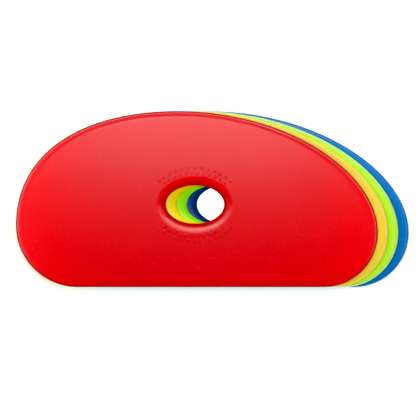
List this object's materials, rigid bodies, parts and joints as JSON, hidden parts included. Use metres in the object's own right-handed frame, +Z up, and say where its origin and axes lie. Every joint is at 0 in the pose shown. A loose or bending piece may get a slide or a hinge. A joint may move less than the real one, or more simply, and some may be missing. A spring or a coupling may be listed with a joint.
{
  "type": "pottery rib",
  "caption": "Kidney-shaped flexible potter's ribs with one straight edge, one curved edge and an oval finger hole, fanned out in a flat pile from firm to very soft.",
  "frame": {"origin": "middle of the pile's footprint, on the surface that the pile lies on", "axes": "+X along the straight edges, towards the side that the lower ribs fan out to; +Y from the straight edges to the curved edges; +Z up through the pile"},
  "size_m": [0.2, 0.0896, 0.021],
  "materials": {
    "red_polyurethane": "satin moulded, very soft",
    "yellow_polyurethane": "satin moulded, soft",
    "green_polyurethane": "satin moulded, medium",
    "blue_polyurethane": "satin moulded, firm"
  },
  "bodies": {
    "blue_rib": {"rib_firm_blue": "blue_polyurethane"},
    "green_rib": {"rib_medium_green": "green_polyurethane"},
    "yellow_rib": {"rib_soft_yellow": "yellow_polyurethane"},
    "red_rib": {"rib_very_soft_red": "red_polyurethane"}
  },
  "joints": [
    {"name": "green_lift", "type": "slide", "parent": "blue_rib", "child": "green_rib", "axis": [0, 0, 1], "range_m": [0, 0.05]},
    {"name": "yellow_lift", "type": "slide", "parent": "green_rib", "child": "yellow_rib", "axis": [0, 0, 1], "range_m": [0, 0.05]},
    {"name": "red_lift", "type": "slide", "parent": "yellow_rib", "child": "red_rib", "axis": [0, 0, 1], "range_m": [0, 0.05]}
  ]
}
